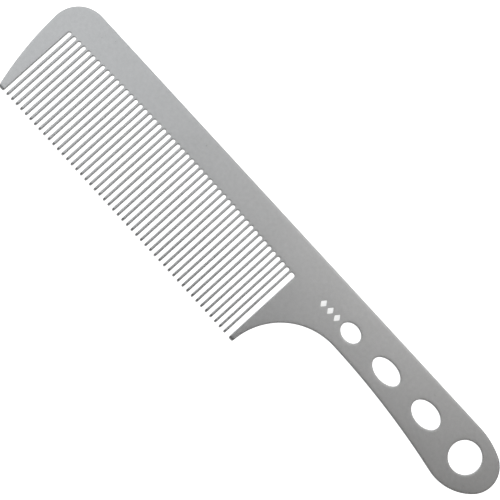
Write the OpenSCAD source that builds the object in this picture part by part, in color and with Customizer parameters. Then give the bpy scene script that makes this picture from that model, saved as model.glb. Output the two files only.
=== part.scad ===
// Barber comb cut from one sheet of stainless steel: a toothed blade with a drilled flat handle.
// The comb lies flat. X runs from the toe to the end of the handle, Y from the tooth tips to
// the back edge, and Z up through the sheet, with the origin under the middle of the outline.
// The real comb is one piece of sheet. Its regions are held here as separate solids that meet
// face to face, so that each one has its own name and the slots stay open.

/* [Sheet] */
// Overall length, from the toe to the end of the handle
overall_l = 224; // [222:1:236]
// Overall width, from the back edge to the tooth tips
overall_w = 43.4; // [42:0.2:48]
// Thickness of the steel sheet
sheet_t = 1.5; // [1:0.1:2.5]

/* [Teeth] */
// Number of fine teeth between the two guards
tooth_count = 48; // [44:1:49]
// Distance from one tooth to the next
tooth_pitch = 2.4; // [2.3:0.05:2.4]
// Width of one tooth
tooth_w = 0.95; // [0.8:0.05:1.1]
// Extra width of the last slot, beside the heel guard
last_slot_extra = 0.5; // [0.1:0.05:0.7]
// Depth of the spine above the highest slot
spine_w = 10.5; // [9:0.25:12]
// Rise of the shallow arch that the slots' closed ends follow
arch_rise = 1.35; // [0.8:0.05:2]
// How far the arch's top lies behind the middle of the tooth row
arch_shift = 3.3; // [0:0.1:4]
// Length of the ground point on the teeth and guards
tip_l = 1.2; // [0.8:0.1:2]
// Thickness that is left at the very tip
tip_t = 0.6; // [0.4:0.1:0.9]

/* [Toe] */
// Distance from the toe's foremost point to the first slot
toe_guard_w = 7.4; // [6.6:0.1:9]
// Radius of the round toe
toe_r = 11.3; // [9:0.1:12]
// Radius of the front flank, from the toe down to the guard's tip
toe_flank_r = 128; // [110:1:160]
// Width of the toe guard's tip
toe_tip_w = 2.25; // [2:0.05:3]

/* [Heel] */
// Width of the heel guard's tip
heel_tip_w = 2; // [1.8:0.1:3]
// Width of the handle at its neck, where the sweep behind the heel guard ends
neck_w = 18.4; // [17:0.2:19]

/* [Handle] */
// Radius of the handle's long hollow lower edge
lower_edge_r = 310; // [300:5:330]
// Radius of the belly, the round lower corner of the handle's end
belly_r = 17.5; // [15:0.5:20]
// Radius of the nose, the very end of the handle
nose_r = 9.6; // [9:0.1:10.4]
// Depth of the nose's centre below the back edge
nose_depth = 11.2; // [10.8:0.1:11.6]
// Radius of the crown, the round upper corner of the handle's end
crown_r = 29; // [25:0.5:33]

/* [Holes] */
// Depth of the line of holes below the back edge
hole_depth = 10.9; // [10:0.1:12]
// Distance of the small oval, nearest the blade, from the end of the handle
small_oval_from_end = 71.8; // [70:0.1:72]
// Length of the small oval
small_oval_l = 8.2; // [6:0.1:8.6]
// Width of the small oval
small_oval_w = 6.2; // [5:0.1:7.5]
// Distance of the middle oval from the end of the handle
middle_oval_from_end = 53.6; // [52:0.1:55]
// Length of the middle oval
middle_oval_l = 12.1; // [9:0.1:13]
// Width of the middle oval
middle_oval_w = 7.2; // [6:0.1:8.5]
// Distance of the large oval from the end of the handle
large_oval_from_end = 33.4; // [32.5:0.1:35]
// Length of the large oval
large_oval_l = 12.1; // [10:0.1:13]
// Width of the large oval
large_oval_w = 8.2; // [7:0.1:9]
// Distance of the round hanging hole from the end of the handle
hanging_hole_from_end = 13.5; // [13:0.1:15]
// Diameter of the hanging hole
hanging_hole_d = 12; // [9:0.1:12.4]

/* [Mark] */
// Number of lozenges in the enamelled mark
mark_count = 3; // [1:1:3]
// Distance of the mark's middle from the end of the handle
mark_from_end = 82.3; // [81.5:0.1:82.6]
// Length of one lozenge, along the handle
lozenge_l = 2.6; // [2:0.1:3]
// Height of one lozenge, across the handle
lozenge_h = 3.4; // [2:0.1:5]
// Distance from one lozenge to the next
lozenge_pitch = 3.4; // [3.1:0.1:3.6]
// Depth of the enamel
enamel_d = 0.1; // [0.05:0.05:0.2]

/* [Hidden] */
$fn = 96;
steel = "silver";
enamel = "white";
arc_step = 3;        // turn between neighbouring points of a round stretch, in degrees
tip_corner_r = 0.45; // rounding of the guards' tips beside their slots
tip_outer_r = 0.65;  // rounding of the guards' tips on their outer side
overrun = 1;         // how far a cutter runs past what it cuts
arch_sides = 720;    // sides of the large circle that draws the arch
corner_steps = 4;    // steps on each side of a rounded corner's middle
heel_shoulder = 7.5; // distance from the heel guard's outer tip to where the handle begins

toe_x = -overall_l / 2;
end_x = overall_l / 2;
back_y = overall_w / 2;
tips_y = -overall_w / 2;

// Tooth row: slot k lies on the toe's side of tooth k
slot_w = tooth_pitch - tooth_w;
slot_r = slot_w / 2;
row_x0 = toe_x + toe_guard_w;
row_x1 = row_x0 + tooth_count * tooth_pitch + slot_w + last_slot_extra;
row_l = row_x1 - row_x0;

// Arch through the centres of the slots' round ends
arch_r = (pow(row_l / 2, 2) + pow(arch_rise, 2)) / (2 * arch_rise);
arch_c = [(row_x0 + row_x1) / 2 + arch_shift, back_y - spine_w - slot_r - arch_r];

// Blade: toe, front flank, and the quarter-round sweep behind the heel guard
sweep_r = overall_w - neck_w;
toe_c = [toe_x + toe_r, back_y - toe_r];
toe_tip = [row_x0 - toe_tip_w, tips_y];
flank_c = meet(toe_c, toe_flank_r - toe_r, toe_tip, toe_flank_r);
heel_tip = [row_x1 + heel_tip_w, tips_y];
sweep_c = heel_tip + [sweep_r, 0];

// Handle: each round stretch runs smoothly into the next
lower_edge_c = [sweep_c.x, back_y - neck_w - lower_edge_r];
nose_c = [end_x - nose_r, back_y - nose_depth];
belly_c = meet(lower_edge_c, lower_edge_r + belly_r, nose_c, belly_r - nose_r);
crown_c = [nose_c.x - sqrt(pow(crown_r - nose_r, 2) - pow(crown_r - nose_depth, 2)), back_y - crown_r];

// Where the regions of the sheet meet
handle_x0 = heel_tip.x + heel_shoulder;
eye_x0 = end_x - (large_oval_from_end - large_oval_l / 2 + hanging_hole_from_end + hanging_hole_d / 2) / 2;

// Point at distance ra from a and rb from b, on the left of the line from a to b
function meet(a, ra, b, rb) =
    let (d = norm(b - a), u = (b - a) / d, m = (d * d + ra * ra - rb * rb) / (2 * d))
    a + m * u + sqrt(ra * ra - m * m) * [-u.y, u.x];

// Direction from a to b, in degrees from 0 to 360
function bearing(a, b) = (atan2(b.y - a.y, b.x - a.x) + 360) % 360;

// Points of a round stretch about c, from direction a0 to direction a1
function arc(c, r, a0, a1) =
    let (n = ceil(abs(a1 - a0) / arc_step))
    [for (i = [0 : n]) let (a = a0 + (a1 - a0) * i / n) c + r * [cos(a), sin(a)]];

// Points that round the corner b, between a and d, with radius r
function corner(a, b, d, r) =
    let (
        u = (a - b) / norm(a - b),
        v = (d - b) / norm(d - b),
        w = (u + v) / norm(u + v),
        half = acos(u * v) / 2,
        c = b + w * r / sin(half),
        turn = 90 - half,
        mid = bearing([0, 0], -w),
        step = sign(u.x * v.y - u.y * v.x) * turn / corner_steps
    )
    [for (i = [-corner_steps : corner_steps]) c + r * [cos(mid - step * i), sin(mid - step * i)]];

// Height of the slots' end centres at x
function arch_y(x) = arch_c.y + sqrt(arch_r * arch_r - pow(x - arch_c.x, 2));

toe_arc = arc(toe_c, toe_r, 90, bearing(flank_c, toe_c));
flank_arc = arc(flank_c, toe_flank_r, bearing(flank_c, toe_c), bearing(flank_c, toe_tip));
sweep_arc = arc(sweep_c, sweep_r, 180, 90);
lower_edge_arc = arc(lower_edge_c, lower_edge_r, 90, bearing(lower_edge_c, belly_c));
belly_arc = arc(belly_c, belly_r, bearing(belly_c, lower_edge_c), bearing(belly_c, nose_c));
nose_arc = arc(nose_c, nose_r, bearing(belly_c, nose_c) - 360, bearing(crown_c, nose_c));
crown_arc = arc(crown_c, crown_r, bearing(crown_c, nose_c), 90);

// The sheet before its slots and holes are cut
module blank_outline() {
    polygon(concat(toe_arc, flank_arc, sweep_arc, lower_edge_arc, belly_arc, nose_arc, crown_arc));
}

// Everything below the arch, from x0 to x1
module below_arch(x0, x1) {
    intersection() {
        translate(arch_c)
            circle(r = arch_r, $fn = arch_sides);
        translate([x0, tips_y - overrun])
            square([x1 - x0, overall_w]);
    }
}

// Full height of the sheet, from x0 to x1
module band(x0, x1) {
    translate([x0, tips_y - overrun])
        square([x1 - x0, overall_w + 2 * overrun]);
}

// Side profile that grinds the tips thinner on both faces, over the whole tooth row
module ground_tips() {
    translate([toe_x, 0, 0])
        rotate([90, 0, 90])
            linear_extrude(height = overall_l)
                polygon([
                    [tips_y, (sheet_t - tip_t) / 2],
                    [tips_y + tip_l, 0],
                    [back_y, 0],
                    [back_y, sheet_t],
                    [tips_y + tip_l, sheet_t],
                    [tips_y, (sheet_t + tip_t) / 2]
                ]);
}

// One lozenge of the mark, counted from the blade
module lozenge(i) {
    translate([end_x - mark_from_end + (i - (mark_count - 1) / 2) * lozenge_pitch, back_y - hole_depth])
        polygon([[-lozenge_l / 2, 0], [0, -lozenge_h / 2], [lozenge_l / 2, 0], [0, lozenge_h / 2]]);
}

// The lozenges from a given depth below the upper face, at a given height
module mark_solids(depth, height) {
    translate([0, 0, sheet_t - depth])
        linear_extrude(height = height)
            for (i = [0 : mark_count - 1])
                lozenge(i);
}

// The back of the blade, from the toe to the handle, with the slots' round ends along it
module spine() {
    color(steel)
        difference() {
            linear_extrude(height = sheet_t)
                difference() {
                    intersection() {
                        blank_outline();
                        band(toe_x - overrun, handle_x0);
                    }
                    below_arch(toe_x - overrun, handle_x0 + overrun);
                }
            for (k = [0 : tooth_count - 1])
                slot_end(row_x0 + k * tooth_pitch + slot_r);
            wide_slot_end(row_x1 - slot_r - last_slot_extra);
        }
}

// Cutter for the closed end of a slot whose middle is at x
module slot_end(x) {
    translate([x, arch_y(x), -overrun])
        cylinder(r = slot_r, h = sheet_t + 2 * overrun);
}

// Cutter for the closed end of the last, wider slot
module wide_slot_end(x) {
    translate([x, arch_y(x), -overrun]) {
        cylinder(r = slot_r, h = sheet_t + 2 * overrun);
        translate([last_slot_extra, 0, 0])
            cylinder(r = slot_r, h = sheet_t + 2 * overrun);
        translate([0, -overrun, 0])
            cube([last_slot_extra, slot_r + overrun, sheet_t + 2 * overrun]);
    }
}

// One fine tooth, round at its tip
module tooth(i) {
    x = row_x0 + i * tooth_pitch - tooth_w / 2;
    r = tooth_w / 2;
    intersection() {
        linear_extrude(height = sheet_t)
            intersection() {
                below_arch(x - tooth_pitch, x + tooth_pitch);
                union() {
                    translate([x, tips_y + r])
                        circle(r = r);
                    translate([x - r, tips_y + r])
                        square([tooth_w, overall_w]);
                }
            }
        ground_tips();
    }
}

// The row of fine teeth, one solid each
module teeth() {
    color(steel)
        for (i = [1 : tooth_count])
            tooth(i);
}

// The wide first tooth that protects the row at the toe
module toe_guard() {
    inner_tip = [row_x0, tips_y];
    flank = [for (i = [0 : len(flank_arc) - 2]) flank_arc[i]];
    color(steel)
        intersection() {
            linear_extrude(height = sheet_t)
                intersection() {
                    below_arch(toe_x - overrun, row_x0);
                    polygon(concat(
                        toe_arc,
                        flank,
                        corner(flank[len(flank) - 1], toe_tip, inner_tip, tip_outer_r),
                        corner(toe_tip, inner_tip, [row_x0, back_y], tip_corner_r),
                        [[row_x0, back_y]]
                    ));
                }
            ground_tips();
        }
}

// The last wide tooth, whose outer side sweeps up into the handle
module heel_guard() {
    inner_tip = [row_x1, tips_y];
    sweep = [for (i = [1 : len(sweep_arc) - 1]) sweep_arc[i]];
    color(steel)
        intersection() {
            linear_extrude(height = sheet_t)
                intersection() {
                    below_arch(row_x1, handle_x0);
                    polygon(concat(
                        [[row_x1, back_y]],
                        corner([row_x1, back_y], inner_tip, heel_tip, tip_corner_r),
                        corner(inner_tip, heel_tip, sweep[0], tip_outer_r),
                        sweep,
                        [[sweep_c.x, back_y]]
                    ));
                }
            ground_tips();
        }
}

// Cutter for an oval hole on the handle's line of holes
module oval_hole(from_end, l, w) {
    translate([end_x - from_end, back_y - hole_depth, -overrun])
        scale([l / w, 1, 1])
            cylinder(d = w, h = sheet_t + 2 * overrun);
}

// The flat handle, with its three oval holes and the recess for the mark
module handle() {
    color(steel)
        difference() {
            linear_extrude(height = sheet_t)
                intersection() {
                    blank_outline();
                    band(handle_x0, eye_x0);
                }
            oval_hole(small_oval_from_end, small_oval_l, small_oval_w);
            oval_hole(middle_oval_from_end, middle_oval_l, middle_oval_w);
            oval_hole(large_oval_from_end, large_oval_l, large_oval_w);
            mark_solids(enamel_d, enamel_d + overrun);
        }
}

// The round end of the handle, with the hole that the comb hangs by
module hanging_eye() {
    color(steel)
        difference() {
            linear_extrude(height = sheet_t)
                intersection() {
                    blank_outline();
                    band(eye_x0, end_x + overrun);
                }
            translate([end_x - hanging_hole_from_end, back_y - hole_depth, -overrun])
                cylinder(d = hanging_hole_d, h = sheet_t + 2 * overrun);
        }
}

// The plain ornament: a row of lozenges filled with enamel, flush with the sheet
module enamel_mark() {
    color(enamel)
        mark_solids(enamel_d, enamel_d);
}

spine();
teeth();
toe_guard();
heel_guard();
handle();
hanging_eye();
enamel_mark();
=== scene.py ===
# %% [markdown]
# # A barber's comb in sheet steel
# The real comb is one piece: a sheet of stainless steel, 1.5 mm thick, with its slots, guards,
# handle and holes all cut out of that sheet, and its edges and tooth points smoothed
# afterwards. Only the small white mark on the handle is something else: enamel that fills three
# shallow recesses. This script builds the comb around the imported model. It loads that model
# first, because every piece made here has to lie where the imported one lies.

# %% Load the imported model
import math

import bmesh
import bpy
from mathutils import Matrix, Vector


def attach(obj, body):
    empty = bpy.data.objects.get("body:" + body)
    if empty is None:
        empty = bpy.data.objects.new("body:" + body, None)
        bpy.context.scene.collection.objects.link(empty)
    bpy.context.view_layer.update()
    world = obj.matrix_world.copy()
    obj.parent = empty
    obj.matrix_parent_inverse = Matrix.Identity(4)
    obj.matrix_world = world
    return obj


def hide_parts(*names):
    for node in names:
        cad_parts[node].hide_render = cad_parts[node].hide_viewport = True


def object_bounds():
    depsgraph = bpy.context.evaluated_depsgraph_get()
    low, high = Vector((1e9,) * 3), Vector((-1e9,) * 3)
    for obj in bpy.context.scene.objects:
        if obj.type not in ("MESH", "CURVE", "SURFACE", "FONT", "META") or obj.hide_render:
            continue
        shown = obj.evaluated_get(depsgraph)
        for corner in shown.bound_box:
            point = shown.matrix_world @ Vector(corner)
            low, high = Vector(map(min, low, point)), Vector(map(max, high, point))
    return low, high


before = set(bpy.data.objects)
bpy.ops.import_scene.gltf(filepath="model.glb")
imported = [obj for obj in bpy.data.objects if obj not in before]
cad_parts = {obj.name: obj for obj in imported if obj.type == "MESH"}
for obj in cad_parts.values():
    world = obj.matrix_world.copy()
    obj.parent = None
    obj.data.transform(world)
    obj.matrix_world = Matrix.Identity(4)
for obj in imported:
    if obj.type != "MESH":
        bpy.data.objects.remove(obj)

cad_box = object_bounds()
print("packed nodes:", sorted(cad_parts))
print("packed box, m:", [[round(c, 5) for c in corner] for corner in cad_box])

# %% [markdown]
# ## The camera
# The comb is seen from almost straight above, through a long lens, with the toe at the upper
# left and the handle's end at the lower right. A long lens keeps the slots' sides nearly
# parallel in the view. The camera comes first, because everything that follows is judged
# through it.

# %% Camera
camera_data = bpy.data.cameras.new("camera")
camera_data.lens = 144
camera_data.sensor_width = 36
camera_data.clip_start, camera_data.clip_end = 0.01, 20
camera = bpy.data.objects.new("camera", camera_data)
camera.location = (0.036523, -0.044729, 0.695368)
camera.rotation_euler = [math.radians(angle) for angle in (5.2409, -0.6959, 47.5506)]
bpy.context.scene.collection.objects.link(camera)
bpy.context.scene.camera = camera
print("camera:", camera_data.lens, "mm lens,", round(camera.location.z, 3), "m up")

# %% [markdown]
# ## The sizes
# A maker starts from a drawing in millimetres, so the shapes below are worked out in
# millimetres too, and the finished mesh is brought to metres at its very end. The length, the
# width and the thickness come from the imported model's box, and the rest are the drawing's other
# sizes.

# %% Sizes of the sheet, in millimetres
MM = 0.001
overall_l, overall_w, sheet_t = (round(size / MM, 2) for size in cad_box[1] - cad_box[0])
toe_x, end_x = -overall_l / 2, overall_l / 2
back_y, tips_y = overall_w / 2, -overall_w / 2
print("sheet:", overall_l, "x", overall_w, "x", sheet_t, "mm")

# %% Sizes of the tooth row
tooth_count, tooth_pitch, tooth_w = 48, 2.4, 0.95
slot_w = tooth_pitch - tooth_w
slot_r = slot_w / 2
last_slot_extra = 0.5
toe_guard_w, spine_w = 7.4, 10.5
row_x0 = toe_x + toe_guard_w
row_x1 = row_x0 + tooth_count * tooth_pitch + slot_w + last_slot_extra
print("tooth row: from", round(row_x0, 2), "to", round(row_x1, 2), "mm")

# %% The shallow arch that the slots' closed ends follow
arch_rise, arch_shift = 1.35, 3.3
half_row = (row_x1 - row_x0) / 2
arch_r = (half_row**2 + arch_rise**2) / (2 * arch_rise)
arch_x, arch_y = row_x0 + half_row + arch_shift, back_y - spine_w - slot_r - arch_r


def slot_end_y(x):
    """Height of the round slot end's middle, for a slot at x."""
    return arch_y + math.sqrt(arch_r**2 - (x - arch_x) ** 2)


print("arch radius:", round(arch_r, 1), "mm")

# %% Sizes of the softened edges and the ground points
edge_r = 0.22
edge_strip = 0.04
inset = edge_r + edge_strip
point_l, point_t = 1.2, 0.62
print("the flat faces stop", inset, "mm inside the outline")

# %% [markdown]
# ## The outline
# The comb's outline is a chain of round stretches that run smoothly into each other, drawn the
# way a draughtsman would, from centres and radii. What is drawn here isn't the outline itself
# but the line where the flat face stops, a little inside it: the rounded edge is then swept
# along that line, which gives every edge of the comb the same soft corner. A bulging stretch is
# drawn with a smaller radius for that, and a hollow one with a larger.

# %% Helpers for round stretches
largest_turn = 0.06


def meet(a, ra, b, rb):
    """Point at distance ra from a and rb from b, on the left of the line from a to b."""
    d = (b - a).length
    u = (b - a) / d
    m = (d * d + ra * ra - rb * rb) / (2 * d)
    return a + m * u + math.sqrt(ra * ra - m * m) * Vector((-u.y, u.x))


def bearing(a, b):
    """Direction from a to b, in radians from 0 to a full turn."""
    return math.atan2(b.y - a.y, b.x - a.x) % math.tau


def stretch(centre, radius, start, end, hollow=False, spacing=1.5):
    """Points of a round stretch from one direction to another, drawn the inset inside the outline."""
    radius += inset if hollow else -inset
    turn = end - start
    steps = max(3, math.ceil(abs(turn) * radius / spacing), math.ceil(abs(turn) / largest_turn))
    return [
        centre + radius * Vector((math.cos(a), math.sin(a)))
        for a in (start + turn * i / steps for i in range(steps + 1))
    ]


def rounded(before, tip, after, radius, steps=6):
    """The round stretch that softens the corner at tip."""
    u, v = (before - tip).normalized(), (after - tip).normalized()
    half = u.angle(v) / 2
    middle = (u + v).normalized()
    centre = tip + middle * radius / math.sin(half)
    turn, mid = math.pi / 2 - half, bearing(middle, Vector((0, 0)))
    side = math.copysign(turn, u.x * v.y - u.y * v.x)
    return [
        centre + (radius - inset) * Vector((math.cos(a), math.sin(a)))
        for a in (mid + side - 2 * side * i / steps for i in range(steps + 1))
    ]


print("a quarter turn of radius 10 mm has", len(stretch(Vector((0, 0)), 10, 0, math.pi / 2)), "points")

# %% Centres of the toe, the front flank and the sweep behind the heel guard
toe_r, toe_flank_r, toe_tip_w, heel_tip_w, neck_w = 11.3, 128, 2.25, 2, 18.4
toe_c = Vector((toe_x + toe_r, back_y - toe_r))
toe_tip = Vector((row_x0 - toe_tip_w, tips_y))
flank_c = meet(toe_c, toe_flank_r - toe_r, toe_tip, toe_flank_r)
heel_tip = Vector((row_x1 + heel_tip_w, tips_y))
sweep_r = overall_w - neck_w
sweep_c = heel_tip + Vector((sweep_r, 0))
print("sweep radius:", round(sweep_r, 2), "mm")

# %% Centres of the handle's stretches
lower_edge_r, belly_r, nose_r, nose_depth, crown_r = 310, 17.5, 9.6, 11.2, 29
lower_edge_c = Vector((sweep_c.x, back_y - neck_w - lower_edge_r))
nose_c = Vector((end_x - nose_r, back_y - nose_depth))
belly_c = meet(lower_edge_c, lower_edge_r + belly_r, nose_c, belly_r - nose_r)
crown_reach = math.sqrt((crown_r - nose_r) ** 2 - (crown_r - nose_depth) ** 2)
crown_c = Vector((nose_c.x - crown_reach, back_y - crown_r))
print("belly centre:", [round(c, 2) for c in belly_c])

# %% Heights of the points along the tooth row, closer together on the ground points
tooth_r = tooth_w / 2
fine_step, coarse_step, root_gap = 0.16, 3.2, 0.5
fine_heights = [tips_y + tooth_r + fine_step * i for i in range(9)]
coarse_heights = [fine_heights[-1] + coarse_step * i for i in range(1, 9)]
side_heights = fine_heights + coarse_heights
print("each side of a slot has", len(side_heights), "heights")


def up(x, top):
    """Points up a straight side at x, as far as the slot's round end."""
    return [Vector((x, y)) for y in side_heights if y < top - root_gap] + [Vector((x, top))]


def slot_end(x0, x1):
    """Round end of a slot from x0 to x1, drawn from left to right over its top."""
    x = x0 + slot_r
    y = slot_end_y(x)
    left = stretch(Vector((x, y)), slot_r, math.pi, math.pi / 2, hollow=True)
    right = stretch(Vector((x1 - slot_r, y)), slot_r, math.pi / 2, 0, hollow=True)
    return left + right


# %% The stretch from the last fine tooth round the handle and the toe to the first one
fine_spacing, tip_spacing, back_spacing, back_gap = 0.3, 0.1, 2, 1
guard_tip_r, guard_slot_r, guard_tip_h = 0.65, 0.45, 0.7


def chain():
    """The whole outline but for the slots between the fine teeth, counter-clockwise."""
    quarter = math.pi / 2
    last_x = row_x0 + tooth_count * tooth_pitch - tooth_r
    first_x = row_x0 + tooth_pitch - tooth_r
    tip_y = tips_y + tooth_r
    last_slot = last_x + tooth_r, row_x1
    first_slot = row_x0, first_x - tooth_r
    line = stretch(Vector((last_x, tip_y)), tooth_r, -quarter, 0, spacing=tip_spacing)
    line += up(last_slot[0] - inset, slot_end_y(last_slot[0] + slot_r))
    line += slot_end(*last_slot)
    line += reversed(up(row_x1 + inset, slot_end_y(last_slot[0] + slot_r)))
    corner = Vector((row_x1, tips_y))
    line += rounded(Vector((row_x1, back_y)), corner, heel_tip, guard_slot_r)
    line += rounded(corner, heel_tip, heel_tip + Vector((0, 1)), guard_tip_r)
    sweep = stretch(sweep_c, sweep_r, math.pi, quarter, hollow=True, spacing=fine_spacing)
    line += [p for p in sweep if p.y > tips_y + guard_tip_h]
    line += stretch(lower_edge_c, lower_edge_r, quarter, bearing(lower_edge_c, belly_c), hollow=True)
    belly_start = bearing(belly_c, lower_edge_c) - math.tau
    belly_end = bearing(belly_c, nose_c) - math.tau
    line += stretch(belly_c, belly_r, belly_start, belly_end)
    line += stretch(nose_c, nose_r, belly_end, bearing(crown_c, nose_c))
    line += stretch(crown_c, crown_r, bearing(crown_c, nose_c), quarter)
    back_steps = int((crown_c.x - toe_c.x - back_gap) / back_spacing)
    line += [Vector((crown_c.x - back_spacing * i, back_y - inset)) for i in range(1, back_steps + 1)]
    line += stretch(toe_c, toe_r, quarter, bearing(flank_c, toe_c))
    flank = stretch(
        flank_c, toe_flank_r, bearing(flank_c, toe_c), bearing(flank_c, toe_tip), spacing=fine_spacing)
    line += [p for p in flank if p.y > tips_y + guard_tip_h]
    corner, outward = Vector((row_x0, tips_y)), toe_tip - flank_c
    line += rounded(toe_tip + Vector((outward.y, -outward.x)), toe_tip, corner, guard_tip_r)
    line += rounded(toe_tip, corner, Vector((row_x0, back_y)), guard_slot_r)
    line += up(row_x0 - inset, slot_end_y(first_slot[0] + slot_r))
    line += slot_end(*first_slot)
    line += reversed(up(first_slot[1] + inset, slot_end_y(first_slot[0] + slot_r)))
    line += stretch(Vector((first_x, tip_y)), tooth_r, math.pi, 1.5 * math.pi, spacing=tip_spacing)
    return line


def without_doubles(line, gap=0.01):
    """The same points with no two neighbours at one place."""
    kept = [line[0]]
    for p in line[1:]:
        if (p - kept[-1]).length > gap:
            kept.append(p)
    return kept


outline = without_doubles(chain())
print("outline drawn with", len(outline), "points")

# %% [markdown]
# ## The holes and the mark
# Three oval holes, each larger than the last, lighten the handle, and a round one at its end hangs
# the comb on a hook. They could be cut out of the finished sheet, but a cut leaves a sharp edge.
# Drawn as rings beside the outline, they get the same softened edge as everything else. The mark's
# three lozenges are drawn as rings too, and become shallow recesses in the upper face.

# %% The holes of the handle, drawn clockwise, because their edges face inwards
hole_depth = 10.9
hole_y = back_y - hole_depth
small_oval = end_x - 71.8, 8.2, 6.2
middle_oval = end_x - 53.6, 12.1, 7.2
large_oval = end_x - 33.4, 12.1, 8.2
hanging_hole = end_x - 13.5, 12, 12
ovals = small_oval, middle_oval, large_oval, hanging_hole


def oval(x, y, length, width, grow, steps=96):
    """An oval ring round (x, y), grown outwards by a fixed distance."""
    ring = []
    for i in range(steps):
        a = -math.tau * i / steps
        p = Vector((length / 2 * math.cos(a), width / 2 * math.sin(a)))
        outward = Vector((math.cos(a) / length, math.sin(a) / width)).normalized()
        ring.append(Vector((x, y)) + p + outward * grow)
    return ring


holes = [oval(x, hole_y, length, width, inset) for x, length, width in ovals]
print("holes at", [round(x, 1) for x, _, _ in ovals], "mm")

# %% The three lozenges of the mark
mark_x, lozenge_l, lozenge_h, lozenge_pitch, enamel_d = end_x - 82.3, 2.6, 3.4, 3.4, 0.1


def lozenge(x, y, shrink, corner_r=0.22, steps=5):
    """A lozenge with softened corners, drawn clockwise, with its sides moved inwards by shrink."""
    half_l, half_h = lozenge_l / 2, lozenge_h / 2
    tips = [Vector(tip) for tip in ((half_l, 0), (0, -half_h), (-half_l, 0), (0, half_h))]
    ring = []
    for i, tip in enumerate(tips):
        before, after = tips[i - 1], tips[(i + 1) % 4]
        u, v = (before - tip).normalized(), (after - tip).normalized()
        half, middle = u.angle(v) / 2, (u + v).normalized()
        centre = tip + middle * corner_r / math.sin(half)
        turn, mid = math.pi / 2 - half, bearing(middle, Vector((0, 0)))
        for k in range(steps + 1):
            a = mid + turn - 2 * turn * k / steps
            from_centre = (corner_r - shrink) * Vector((math.cos(a), math.sin(a)))
            ring.append(Vector((x, y)) + centre + from_centre)
    return ring


lozenges = [lozenge(mark_x + i * lozenge_pitch, hole_y, 0) for i in (-1, 0, 1)]
print("mark:", len(lozenges), "lozenges,", lozenge_l, "x", lozenge_h, "mm each")

# %% The drawing as a mesh of edges, with the outline left open between the fine teeth
def drawing(name, lines):
    """An object of loose edges from lines of points; each line is (points, closed, in the mark)."""
    points, edges, in_mark = [], [], []
    for line, closed, mark in lines:
        first = len(points)
        points += [(p.x, p.y, 0) for p in line]
        in_mark += [mark] * len(line)
        edges += [(first + i, first + i + 1) for i in range(len(line) - 1)]
        if closed:
            edges.append((first, first + len(line) - 1))
    mesh = bpy.data.meshes.new(name)
    mesh.from_pydata(points, edges, [])
    mesh.attributes.new("in_mark", "BOOLEAN", "POINT").data.foreach_set("value", in_mark)
    thing = bpy.data.objects.new(name, mesh)
    bpy.context.scene.collection.objects.link(thing)
    return thing


lines = [(outline, False, False)]
lines += [(ring, True, False) for ring in holes]
lines += [(ring, True, True) for ring in lozenges]
comb_sheet = drawing("comb_sheet", lines)
print("drawing:", len(comb_sheet.data.vertices), "points,", len(comb_sheet.data.edges), "edges")

# %% [markdown]
# ## The sheet
# The slots repeat along the row, and the softened edge follows the outline, so the sheet is
# made by a Geometry Nodes tree. The tree draws one slot between two half teeth, repeats it
# along the row, lifts each slot's end to the arch, and joins the row to the rest of the drawing
# into one closed outline. An edge profile is then swept along that outline, the flat faces are
# filled in above and below, and the last millimetre of the teeth and guards is thinned, as it
# is on a grinding belt. Modelling the slots one by one, or cutting them out with booleans,
# would leave ragged faces along every tooth.

# %% Helpers that place nodes
def place(tree, kind, feeds=None, **settings):
    """Adds a node. Feeds go to its sockets by identifier: a socket is linked and a value is set."""
    made = tree.nodes.new(kind)
    made.location = (200 * (len(tree.nodes) % 12), -260 * (len(tree.nodes) // 12))
    for name, value in settings.items():
        setattr(made, name, value)
    for name, value in (feeds or {}).items():
        socket = next(s for s in made.inputs if s.identifier == name)
        for one in value if isinstance(value, list) else [value]:
            if isinstance(one, bpy.types.NodeSocket):
                tree.links.new(one, socket)
            else:
                socket.default_value = one
    return made


def out(made, name=None):
    """A node's output by identifier, or its first one."""
    return next(s for s in made.outputs if s.identifier == name) if name else made.outputs[0]


def maths(tree, operation, *values):
    """One step of arithmetic on fields or numbers."""
    names = ("Value", "Value_001", "Value_002")
    return out(place(tree, "ShaderNodeMath", dict(zip(names, values)), operation=operation))


def vector_maths(tree, operation, name, **feeds):
    """One step of arithmetic on vectors. The name is the wanted output's."""
    return out(place(tree, "ShaderNodeVectorMath", feeds, operation=operation), name)


def moved(tree, geometry, offset):
    """The same geometry at another place."""
    return place(tree, "GeometryNodeTransform", {"Geometry": out(geometry), "Translation": offset})


def along_line(tree, start, end, count):
    """A straight line of evenly spaced points, as a curve."""
    made = place(tree, "GeometryNodeCurvePrimitiveLine", {"Start": start, "End": end})
    return place(tree, "GeometryNodeResampleCurve", {"Curve": out(made), "Count": count})


def quarter_arc(tree, radius, start, turn, steps):
    """A quarter turn from a starting angle, as a curve."""
    feeds = {"Resolution": steps, "Radius": radius, "Start Angle": start, "Sweep Angle": turn}
    return place(tree, "GeometryNodeCurveArc", feeds, mode="RADIUS")


def point(tree, x=0.0, y=0.0, z=0.0):
    """A position from three numbers or fields."""
    return out(place(tree, "ShaderNodeCombineXYZ", {"X": x, "Y": y, "Z": z}))


def new_tree(name, inputs):
    """A Geometry Nodes tree with named inputs. Returns the tree and its inputs by name."""
    tree = bpy.data.node_groups.new(name, "GeometryNodeTree")
    tree.interface.new_socket("Geometry", in_out="INPUT", socket_type="NodeSocketGeometry")
    tree.interface.new_socket("Geometry", in_out="OUTPUT", socket_type="NodeSocketGeometry")
    kinds = {int: "NodeSocketInt", float: "NodeSocketFloat", Vector: "NodeSocketVector"}
    for label, value in inputs.items():
        kind = kinds.get(type(value), "NodeSocketMaterial")
        socket = tree.interface.new_socket(label, in_out="INPUT", socket_type=kind)
        if kind != "NodeSocketMaterial":
            socket.default_value = value
    entry = place(tree, "NodeGroupInput")
    return tree, {s.name: s for s in entry.outputs if s.name}


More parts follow.
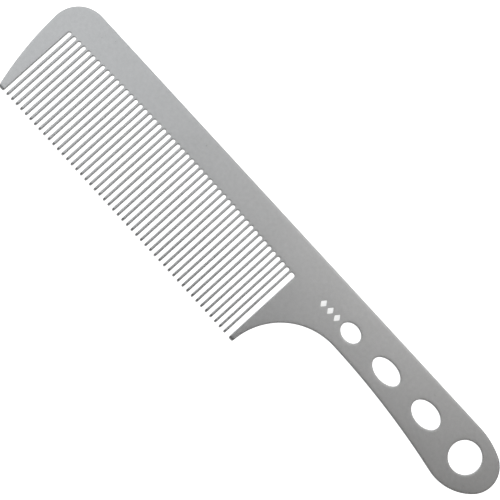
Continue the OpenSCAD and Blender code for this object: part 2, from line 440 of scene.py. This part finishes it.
def finish_tree(tree, made, material):
    """Ends a tree: smooth shading, millimetres to metres, real geometry, and its material."""
    made = place(tree, "GeometryNodeSetShadeSmooth", {"Geometry": out(made)})
    made = place(tree, "GeometryNodeTransform", {"Geometry": out(made), "Scale": (MM, MM, MM)})
    made = place(tree, "GeometryNodeRealizeInstances", {"Geometry": out(made)})
    made = place(tree, "GeometryNodeSetMaterial", {"Geometry": out(made), "Material": material})
    tree.links.new(out(made), tree.nodes.new("NodeGroupOutput").inputs[0])


print("node helpers ready")

# %% The tree's named inputs
sheet_inputs = {
    "Gaps Between Fine Teeth": tooth_count - 1,
    "Tooth Pitch": tooth_pitch,
    "Tooth Width": tooth_w,
    "First Tooth X": row_x0 + tooth_pitch - tooth_r,
    "Tips Y": tips_y,
    "Root Y": slot_end_y(arch_x),
    "Arch Centre": Vector((arch_x, arch_y, 0)),
    "Arch Radius": arch_r,
    "Sheet Thickness": sheet_t,
    "Edge Radius": edge_r,
    "Edge Inset": inset,
    "Point Length": point_l,
    "Point Thickness": point_t,
    "Enamel Depth": enamel_d,
    "Steel": None,
}
tree, size = new_tree("comb sheet", sheet_inputs)
print("inputs:", list(size)[1:])

# %% One slot between two half teeth, in the tree
tip_steps, root_steps = 6, 9


def half_slot(tree):
    """The right half of a fine tooth and the slot's left side, as curves about the tooth's middle."""
    radius = maths(tree, "MULTIPLY", size["Tooth Width"], 0.5)
    flat = maths(tree, "SUBTRACT", radius, size["Edge Inset"])
    knee = maths(tree, "ADD", size["Tips Y"], radius)
    fine_top = maths(tree, "ADD", knee, fine_heights[-1] - fine_heights[0])
    slot = maths(tree, "SUBTRACT", size["Tooth Pitch"], size["Tooth Width"])
    bend = maths(tree, "MULTIPLY_ADD", slot, 0.5, size["Edge Inset"])
    middle = maths(tree, "MULTIPLY", size["Tooth Pitch"], 0.5)
    quarter = math.pi / 2
    tip = moved(tree, quarter_arc(tree, flat, -quarter, quarter, tip_steps), point(tree, 0, knee))
    low = along_line(tree, point(tree, flat, knee), point(tree, flat, fine_top), len(fine_heights))
    high = along_line(
        tree, point(tree, flat, fine_top), point(tree, flat, size["Root Y"]), len(coarse_heights))
    root = quarter_arc(tree, bend, math.pi, -quarter, root_steps)
    end = moved(tree, root, point(tree, middle, size["Root Y"]))
    stretches = [out(part) for part in (tip, low, high, end)]
    return place(tree, "GeometryNodeJoinGeometry", {"Geometry": stretches})


left = half_slot(tree)
right = place(tree, "GeometryNodeTransform", {
    "Geometry": out(left), "Translation": point(tree, size["Tooth Pitch"]), "Scale": (-1, 1, 1)})
slot_curves = place(tree, "GeometryNodeJoinGeometry", {"Geometry": [out(left), out(right)]})
slot_edges = place(tree, "GeometryNodeCurveToMesh", {"Curve": out(slot_curves)})
print("slot template:", len(tree.nodes), "nodes so far")

# %% The row: the slot repeated, and each one's end lifted to the arch
row = place(tree, "GeometryNodeMeshLine", {
    "Count": size["Gaps Between Fine Teeth"],
    "Start Location": point(tree, size["First Tooth X"]),
    "Offset": point(tree, size["Tooth Pitch"])})
row = place(tree, "GeometryNodeInstanceOnPoints", {"Points": out(row), "Instance": out(slot_edges)})
where = place(tree, "ShaderNodeSeparateXYZ", {"Vector": out(place(tree, "GeometryNodeInputPosition"))})
row = place(tree, "GeometryNodeStoreNamedAttribute", {
    "Geometry": out(row), "Name": "slot_x",
    "Value": maths(tree, "MULTIPLY_ADD", size["Tooth Pitch"], 0.5, out(where, "X"))},
    data_type="FLOAT", domain="INSTANCE")
row = place(tree, "GeometryNodeRealizeInstances", {"Geometry": out(row)})

slot_x = out(place(tree, "GeometryNodeInputNamedAttribute", {"Name": "slot_x"}, data_type="FLOAT"))
centre = place(tree, "ShaderNodeSeparateXYZ", {"Vector": size["Arch Centre"]})
away = maths(tree, "SUBTRACT", slot_x, out(centre, "X"))
arch_squared = maths(tree, "MULTIPLY", size["Arch Radius"], size["Arch Radius"])
rise = maths(tree, "SQRT", maths(tree, "SUBTRACT", arch_squared, maths(tree, "MULTIPLY", away, away)))
lift = maths(tree, "SUBTRACT", maths(tree, "ADD", out(centre, "Y"), rise), size["Root Y"])
still_length = 4.0
still_top = maths(tree, "ADD", size["Tips Y"], still_length)
share = place(tree, "ShaderNodeMapRange", {
    "Value": out(where, "Y"), "From Min": still_top, "From Max": size["Root Y"]}, clamp=True)
lift = maths(tree, "MULTIPLY", lift, out(share, "Result"))
row = place(tree, "GeometryNodeSetPosition", {"Geometry": out(row), "Offset": point(tree, 0, lift)})
row = place(tree, "GeometryNodeRemoveAttribute", {"Geometry": out(row), "Name": "slot_x"})
print("row of slots:", len(tree.nodes), "nodes so far")

# %% One closed outline, and the paths that the edge profiles follow
whole = place(tree, "GeometryNodeJoinGeometry", {"Geometry": [out(row), size["Geometry"]]})
weld_gap = 0.002
whole = place(tree, "GeometryNodeMergeByDistance", {"Geometry": out(whole), "Distance": weld_gap})
in_mark = out(place(tree, "GeometryNodeInputNamedAttribute", {"Name": "in_mark"}, data_type="BOOLEAN"))
not_mark = place(tree, "FunctionNodeBooleanMath", {"Boolean": in_mark}, operation="NOT")


def upright_path(tree, wanted):
    """The wanted part of the drawing as curves whose normals lie in the sheet."""
    path = place(tree, "GeometryNodeMeshToCurve", {"Mesh": out(whole), "Selection": wanted})
    return out(place(tree, "GeometryNodeSetCurveNormal", {"Curve": out(path)}, mode="Z_UP"))


sheet_path = upright_path(tree, out(not_mark))
mark_path = upright_path(tree, in_mark)
print("outline joined:", len(tree.nodes), "nodes so far")

# %% The softened edge, swept along the outline
def upright(tree, profile):
    """Turns a profile over, because a sweep lays its X to the path's right and its Y downwards."""
    return place(tree, "GeometryNodeTransform", {"Geometry": out(profile), "Scale": (1, -1, 1)})


def edge_profile(tree, top, bottom, reach, radius, steps):
    """A U that starts level, turns down with a soft corner, and returns level."""
    corners = {"Point 1": point(tree, 0, top), "Point 2": point(tree, reach, top),
               "Point 3": point(tree, reach, bottom), "Point 4": point(tree, 0, bottom)}
    profile = place(tree, "GeometryNodeCurvePrimitiveQuadrilateral", corners, mode="POINTS")
    profile = place(tree, "GeometryNodeSetSplineCyclic", {"Geometry": out(profile), "Cyclic": False})
    profile = place(tree, "GeometryNodeFilletCurve", {
        "Curve": out(profile), "Count": steps, "Radius": radius}, mode="POLY")
    return upright(tree, profile)


profile = edge_profile(tree, size["Sheet Thickness"], 0, size["Edge Inset"], size["Edge Radius"], 5)
rim = place(tree, "GeometryNodeCurveToMesh", {"Curve": sheet_path, "Profile Curve": out(profile)})
print("edge profile:", len(tree.nodes), "nodes so far")

# %% The flat faces, with the mark's recesses left open in the upper one
both_paths = place(tree, "GeometryNodeJoinGeometry", {"Geometry": [sheet_path, mark_path]})
top = place(tree, "GeometryNodeFillCurve", {"Curve": out(both_paths)}, mode="TRIANGLES")
top = moved(tree, top, point(tree, 0, 0, size["Sheet Thickness"]))
under = place(tree, "GeometryNodeFillCurve", {"Curve": sheet_path}, mode="TRIANGLES")
under = place(tree, "GeometryNodeFlipFaces", {"Mesh": out(under)})
print("flat faces:", len(tree.nodes), "nodes so far")

# %% The mark's recesses: a small soft edge, a wall and a floor
recess_strip, recess_bevel = 0.03, 0.03
recess_step = recess_strip + recess_bevel
floor_z = maths(tree, "SUBTRACT", size["Sheet Thickness"], size["Enamel Depth"])
wall = place(tree, "GeometryNodeCurvePrimitiveQuadrilateral", {
    "Point 1": point(tree, 0, size["Sheet Thickness"]),
    "Point 2": point(tree, recess_strip, size["Sheet Thickness"]),
    "Point 3": point(tree, recess_step, maths(tree, "SUBTRACT", size["Sheet Thickness"], recess_bevel)),
    "Point 4": point(tree, recess_step, floor_z)}, mode="POINTS")
wall = place(tree, "GeometryNodeSetSplineCyclic", {"Geometry": out(wall), "Cyclic": False})
wall = upright(tree, wall)
recess = place(tree, "GeometryNodeCurveToMesh", {"Curve": mark_path, "Profile Curve": out(wall)})
normal = out(place(tree, "GeometryNodeInputNormal"))
inwards = vector_maths(tree, "SCALE", "Vector", Vector=normal, Scale=recess_step)
floor_path = place(tree, "GeometryNodeSetPosition", {"Geometry": mark_path, "Offset": inwards})
recess_floor = place(tree, "GeometryNodeFillCurve", {"Curve": out(floor_path)}, mode="TRIANGLES")
recess_floor = moved(tree, recess_floor, point(tree, 0, 0, floor_z))
print("recesses:", len(tree.nodes), "nodes so far")

# %% All surfaces welded into one closed sheet, its points ground thin, and brought to metres
sheet = place(tree, "GeometryNodeJoinGeometry", {
    "Geometry": [out(rim), out(top), out(under), out(recess), out(recess_floor)]})
sheet = place(tree, "GeometryNodeMergeByDistance", {"Geometry": out(sheet), "Distance": weld_gap})
here = place(tree, "ShaderNodeSeparateXYZ", {"Vector": out(place(tree, "GeometryNodeInputPosition"))})
grind = place(tree, "ShaderNodeMapRange", {
    "Value": out(here, "Y"), "From Min": maths(tree, "ADD", size["Tips Y"], size["Point Length"]),
    "From Max": size["Tips Y"]}, clamp=True)
grind_curve = 1.4
grind = maths(tree, "POWER", out(grind, "Result"), grind_curve)
thinnest = maths(tree, "DIVIDE", size["Point Thickness"], size["Sheet Thickness"])
middle_z = maths(tree, "MULTIPLY", size["Sheet Thickness"], 0.5)
from_middle = maths(tree, "SUBTRACT", out(here, "Z"), middle_z)
lost = maths(tree, "MULTIPLY", grind, maths(tree, "SUBTRACT", 1.0, thinnest))
inwards_z = maths(tree, "MULTIPLY", from_middle, maths(tree, "MULTIPLY", lost, -1.0))
sheet = place(tree, "GeometryNodeSetPosition", {
    "Geometry": out(sheet), "Offset": point(tree, 0, 0, inwards_z)})
finish_tree(tree, sheet, size["Steel"])
print("sheet tree:", len(tree.nodes), "nodes")

# %% Run a tree on a drawing and keep the plain mesh
def make_mesh(thing, tree, values):
    """Gives the object the tree's result as its own mesh, with faces turned outwards."""
    modifier = thing.modifiers.new("shape", "NODES")
    modifier.node_group = tree
    for item in tree.interface.items_tree:
        if item.in_out == "INPUT" and item.name in values:
            modifier[item.identifier] = values[item.name]
    depsgraph = bpy.context.evaluated_depsgraph_get()
    mesh = bpy.data.meshes.new_from_object(thing.evaluated_get(depsgraph), depsgraph=depsgraph)
    thing.modifiers.remove(modifier)
    thing.data = mesh
    mesh.name = thing.name
    work = bmesh.new()
    work.from_mesh(mesh)
    bmesh.ops.recalc_face_normals(work, faces=work.faces)
    open_edges = sum(1 for e in work.edges if not e.is_manifold)
    volume = work.calc_volume()
    work.to_mesh(mesh)
    work.free()
    faces = sum(len(p.vertices) - 2 for p in mesh.polygons)
    volume = round(volume / MM**3, 1)
    print(thing.name, "-", faces, "triangles,", open_edges, "open edges, volume", volume, "mm3")


steel = bpy.data.materials.new("satin_stainless_steel")
make_mesh(comb_sheet, tree, {"Steel": steel})

# %% [markdown]
# ## The enamel mark
# The mark is a row of three plain lozenges, pressed into the handle and filled with white
# enamel. One lozenge is drawn, and a second, smaller tree repeats it and gives it a body that
# fills its recess to just under the steel's surface, with a soft shoulder like a drop of dried
# enamel.

# %% One lozenge of enamel, and the tree that repeats it
enamel_shoulder, enamel_corner_r, enamel_soft_r = 0.12, 0.24, 0.035
enamel_under_steel, enamel_gap = 0.012, 0.001
first_mark_x = mark_x - lozenge_pitch
enamel_ring = lozenge(first_mark_x, hole_y, recess_step + enamel_shoulder, corner_r=enamel_corner_r)
mark_enamel = drawing("mark_enamel", [(enamel_ring, True, True)])
enamel_inputs = {
    "Lozenge Count": len(lozenges),
    "Lozenge Pitch": lozenge_pitch,
    "Top Z": sheet_t - enamel_under_steel,
    "Bottom Z": sheet_t - enamel_d + enamel_gap,
    "Shoulder": enamel_shoulder,
    "Enamel": None,
}
mark_tree, size = new_tree("enamel mark", enamel_inputs)
spots = place(mark_tree, "GeometryNodeMeshLine", {
    "Count": size["Lozenge Count"], "Offset": point(mark_tree, size["Lozenge Pitch"])})
marks = place(mark_tree, "GeometryNodeInstanceOnPoints", {
    "Points": out(spots), "Instance": size["Geometry"]})
marks = place(mark_tree, "GeometryNodeRealizeInstances", {"Geometry": out(marks)})
path = place(mark_tree, "GeometryNodeMeshToCurve", {"Mesh": out(marks)})
path = place(mark_tree, "GeometryNodeSetCurveNormal", {"Curve": out(path)}, mode="Z_UP")
outwards = maths(mark_tree, "MULTIPLY", size["Shoulder"], -1.0)
shoulder = edge_profile(mark_tree, size["Top Z"], size["Bottom Z"], outwards, enamel_soft_r, 4)
body = place(mark_tree, "GeometryNodeCurveToMesh", {"Curve": out(path), "Profile Curve": out(shoulder)})
lid = place(mark_tree, "GeometryNodeFillCurve", {"Curve": out(path)}, mode="TRIANGLES")
base = place(mark_tree, "GeometryNodeFlipFaces", {"Mesh": out(lid)})
lid = moved(mark_tree, lid, point(mark_tree, 0, 0, size["Top Z"]))
base = moved(mark_tree, base, point(mark_tree, 0, 0, size["Bottom Z"]))
body = place(mark_tree, "GeometryNodeJoinGeometry", {"Geometry": [out(body), out(lid), out(base)]})
body = place(mark_tree, "GeometryNodeMergeByDistance", {
    "Geometry": out(body), "Distance": weld_gap})
finish_tree(mark_tree, body, size["Enamel"])
enamel = bpy.data.materials.new("white_enamel")
make_mesh(mark_enamel, mark_tree, {"Enamel": enamel})

# %% [markdown]
# ## Helpers for the finishes
# A finish is a small tree of nodes: noise patterns that lie on the piece, numbers spread over a
# chosen range, and colours mixed by those numbers. The patterns read Object coordinates, so
# their size is in real metres and they stay in place on the piece. Painted images would do it
# too, but they would blur in a close view.

# %% Helpers for the finishes
def shader(material):
    """Clears a material's nodes and gives it a Principled shader. Returns its tree and the shader."""
    material.use_nodes = True
    tree = material.node_tree
    tree.nodes.clear()
    bsdf = tree.nodes.new("ShaderNodeBsdfPrincipled")
    end = tree.nodes.new("ShaderNodeOutputMaterial")
    tree.links.new(bsdf.outputs["BSDF"], end.inputs["Surface"])
    return tree, bsdf


def noise(tree, scale, squeeze=(1, 1, 1), detail=3):
    """Noise on Object coordinates, squeezed or drawn out along the axes."""
    where = out(place(tree, "ShaderNodeTexCoord"), "Object")
    placed = out(place(tree, "ShaderNodeMapping", {"Vector": where, "Scale": squeeze}))
    feeds = {"Vector": placed, "Scale": scale, "Detail": detail}
    return out(place(tree, "ShaderNodeTexNoise", feeds), "Fac")


def spread(tree, value, low, high, start=0.3, end=0.7):
    """Maps a value's range from start to end onto low to high."""
    feeds = {"Value": value, "From Min": start, "From Max": end, "To Min": low, "To Max": high}
    return out(place(tree, "ShaderNodeMapRange", feeds, clamp=True), "Result")


def blend(tree, factor, low, high):
    """A colour between two, by a factor."""
    feeds = {"Factor_Float": factor, "A_Color": low, "B_Color": high}
    return out(place(tree, "ShaderNodeMix", feeds, data_type="RGBA"), "Result_Color")


print("finish helpers ready")

# %% [markdown]
# ## The steel's finish
# Barber's steel is tumbled and then lightly rubbed along its length, so it is satin rather than
# bright: the reflections are wide and soft, with a faint cloudiness and only the finest
# scratches. Four layers of noise make that: clouds a centimetre or two wide, a mottle of about
# a millimetre, a grain drawn out along the comb, and a fine speckle. The clouds, the mottle and
# the speckle add up to the tone, which sets the colour and the roughness, and the grain and the
# speckle set the bump.

# %% Satin grain
cloud_share, mottle_share, speckle_share, rub_share = 0.25, 0.45, 0.3, 0.5
rub_strength, rub_depth = 0.4, 0.00001
tree, bsdf = shader(steel)
cloud = noise(tree, 60, detail=4)
mottle = noise(tree, 700)
grain = noise(tree, 1500, (0.1, 1, 1), detail=2)
speckle = noise(tree, 3200, detail=1)
tone = maths(tree, "MULTIPLY", mottle, mottle_share)
tone = maths(tree, "MULTIPLY_ADD", speckle, speckle_share, tone)
tone = maths(tree, "MULTIPLY_ADD", cloud, cloud_share, tone)
rub = maths(tree, "MULTIPLY_ADD", grain, rub_share, maths(tree, "MULTIPLY", speckle, rub_share))
bump = out(place(tree, "ShaderNodeBump", {
    "Height": rub, "Strength": rub_strength, "Distance": rub_depth}))
print("satin grain:", len(tree.nodes), "nodes")

# %% [markdown]
# ## The roll towards the edges, and the wear on them
# Tumbling takes a little more off near an edge, so the flat face rolls away there over a
# millimetre or two. The drop is too slight for a mesh, but it shows in the reflections. The
# Bevel node gives a normal that is averaged round the edges, and a small share of it is added
# to the surface's own. The same averaged normal tells where an edge is: the more it turns from
# the true one, the more the steel is worn, which makes it a little brighter and smoother.

# %% The roll towards the edges
edge_roll, edge_roll_share = 1.8, 0.075
rolled = out(place(tree, "ShaderNodeBevel", {"Radius": edge_roll * MM, "Normal": bump}, samples=8))
turned = vector_maths(tree, "SCALE", "Vector", Vector=rolled, Scale=edge_roll_share)
turned = vector_maths(tree, "ADD", "Vector", Vector=turned, Vector_001=bump)
turned = vector_maths(tree, "NORMALIZE", "Vector", Vector=turned)
tree.links.new(turned, bsdf.inputs["Normal"])
print("edge roll:", edge_roll, "mm wide")

# %% The wear on the edges, and the steel's colour and roughness
dark_steel, pale_steel = (0.52, 0.523, 0.525, 1), (0.618, 0.62, 0.622, 1)
worn_steel, worn_share = (0.64, 0.642, 0.644, 1), 0.5
fully_worn, unworn, least_wear = 0.75, 0.97, 0.4
smoothest, roughest, worn_smoother = 0.27, 0.33, 0.06
true_normal = out(place(tree, "ShaderNodeNewGeometry"), "Normal")
facing = vector_maths(tree, "DOT_PRODUCT", "Value", Vector=rolled, Vector_001=true_normal)
patchy = spread(tree, mottle, least_wear, 1)
wear = maths(tree, "MULTIPLY", spread(tree, facing, 1, 0, fully_worn, unworn), patchy)
dull = blend(tree, spread(tree, tone, 0, 1), dark_steel, pale_steel)
colour = blend(tree, maths(tree, "MULTIPLY", wear, worn_share), dull, worn_steel)
tree.links.new(colour, bsdf.inputs["Base Color"])
roughness = spread(tree, tone, smoothest, roughest)
roughness = maths(tree, "MULTIPLY_ADD", wear, -worn_smoother, roughness)
tree.links.new(roughness, bsdf.inputs["Roughness"])
bsdf.inputs["Metallic"].default_value = 1.0
print("satin steel:", len(tree.nodes), "nodes")

# %% [markdown]
# ## The enamel's finish
# Enamel that was wiped level and baked is white with a soft gloss, and never quite even. One
# layer of noise is enough for that: it sets a faint change of white, of gloss and of height.

# %% White enamel
grey_white, clean_white = (0.89, 0.89, 0.88, 1), (0.95, 0.95, 0.945, 1)
tree, bsdf = shader(enamel)
haze = noise(tree, 700)
white = blend(tree, spread(tree, haze, 0, 1), grey_white, clean_white)
tree.links.new(white, bsdf.inputs["Base Color"])
tree.links.new(spread(tree, haze, 0.32, 0.45), bsdf.inputs["Roughness"])
bump = place(tree, "ShaderNodeBump", {"Height": haze, "Strength": 0.15, "Distance": 0.00002})
tree.links.new(out(bump), bsdf.inputs["Normal"])
print("white enamel:", len(tree.nodes), "nodes")

# %% [markdown]
# ## The studio
# The comb lies on a plain white floor under soft light. Steel looks like what it reflects, so
# the lights are placed for their reflections: a large softbox behind the comb, one beside it
# and a weak one past the handle's end, each with an edge near the direction that the flat face
# mirrors. The sky is dark overhead and bright lower down, which lights the edges. One more
# softbox is left out of the reflections, so it lights only the enamel and the floor. Floor and
# sky are fully white only where the camera sees them, because so white a floor would also light
# up the teeth's sides.

# %% Floor
floor_half, floor_drop, floor_glow = 3, 0.00005, 0.2
corners = [(-floor_half, -floor_half, 0), (floor_half, -floor_half, 0),
           (floor_half, floor_half, 0), (-floor_half, floor_half, 0)]
floor_mesh = bpy.data.meshes.new("floor")
floor_mesh.from_pydata(corners, [], [(0, 1, 2, 3)])
floor_mesh.transform(Matrix.Translation((0, 0, -floor_drop)))
floor = bpy.data.objects.new("floor", floor_mesh)
bpy.context.scene.collection.objects.link(floor)
floor_paint = bpy.data.materials.new("white_floor")
floor_mesh.materials.append(floor_paint)
tree, bsdf = shader(floor_paint)
bsdf.inputs["Base Color"].default_value = (0.5, 0.5, 0.5, 1)
bsdf.inputs["Roughness"].default_value = 0.9
bsdf.inputs["Emission Color"].default_value = (1, 1, 1, 1)
seen = out(place(tree, "ShaderNodeLightPath"), "Is Camera Ray")
glow = maths(tree, "MULTIPLY_ADD", seen, 1 - floor_glow, floor_glow)
tree.links.new(glow, bsdf.inputs["Emission Strength"])
print("floor:", 2 * floor_half, "m across")

# %% Sky
bright_up_to, dark_from, bright_sky, dark_sky = 0.3, 0.85, 0.85, 0.03
world = bpy.data.worlds.new("studio")
bpy.context.scene.world = world
world.use_nodes = True
tree = world.node_tree
tree.nodes.clear()
seen = out(place(tree, "ShaderNodeLightPath"), "Is Camera Ray")
direction = out(place(tree, "ShaderNodeTexCoord"), "Generated")
height = out(place(tree, "ShaderNodeSeparateXYZ", {"Vector": direction}), "Z")
glow = spread(tree, height, dark_sky, bright_sky, dark_from, bright_up_to)
glow = maths(tree, "MAXIMUM", glow, seen)
background = place(tree, "ShaderNodeBackground", {"Color": (1, 1, 1, 1), "Strength": glow})
tree.links.new(out(background), tree.nodes.new("ShaderNodeOutputWorld").inputs["Surface"])
print("sky:", len(tree.nodes), "nodes")

# %% Softboxes
softbox_h, fill_h = 0.9, 1.3


def softbox(name, low, high, height, brightness, tint):
    """A level softbox above the comb, between two corners, with the brightness of its face."""
    data = bpy.data.lights.new(name, "AREA")
    data.shape = "RECTANGLE"
    data.size, data.size_y = high[0] - low[0], high[1] - low[1]
    data.energy = brightness * math.pi * data.size * data.size_y
    data.color = tint
    thing = bpy.data.objects.new(name, data)
    thing.location = ((low[0] + high[0]) / 2, (low[1] + high[1]) / 2, height)
    bpy.context.scene.collection.objects.link(thing)
    print(name, "-", round(data.size, 2), "x", round(data.size_y, 2), "m,", round(data.energy, 2), "W")
    return thing


softbox("back softbox", (-0.114, 0.084), (0.212, 0.638), softbox_h, 1.33, (1, 0.99, 0.978))
softbox("end softbox", (0.25, -0.15), (0.6, 0.3), softbox_h, 0.2, (1, 0.94, 0.86))
softbox("side softbox", (-0.943, -0.459), (-0.15, 0.795), softbox_h, 0.96, (0.965, 0.985, 1))
fill = softbox("fill for dull surfaces", (-0.8, -0.8), (0.8, 0.8), fill_h, 1.25, (1, 1, 1))
fill.visible_glossy = False
bpy.context.scene.view_settings.view_transform = "Standard"
print("studio ready")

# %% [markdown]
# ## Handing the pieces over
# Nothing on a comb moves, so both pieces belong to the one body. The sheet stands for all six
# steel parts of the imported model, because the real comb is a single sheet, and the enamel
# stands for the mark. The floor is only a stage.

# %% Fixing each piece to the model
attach(comb_sheet, "root")
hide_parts("spine", "teeth", "toe_guard", "heel_guard", "handle", "hanging_eye")
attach(mark_enamel, "root")
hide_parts("enamel_mark")
print("fixed:", comb_sheet.name, "and", mark_enamel.name)
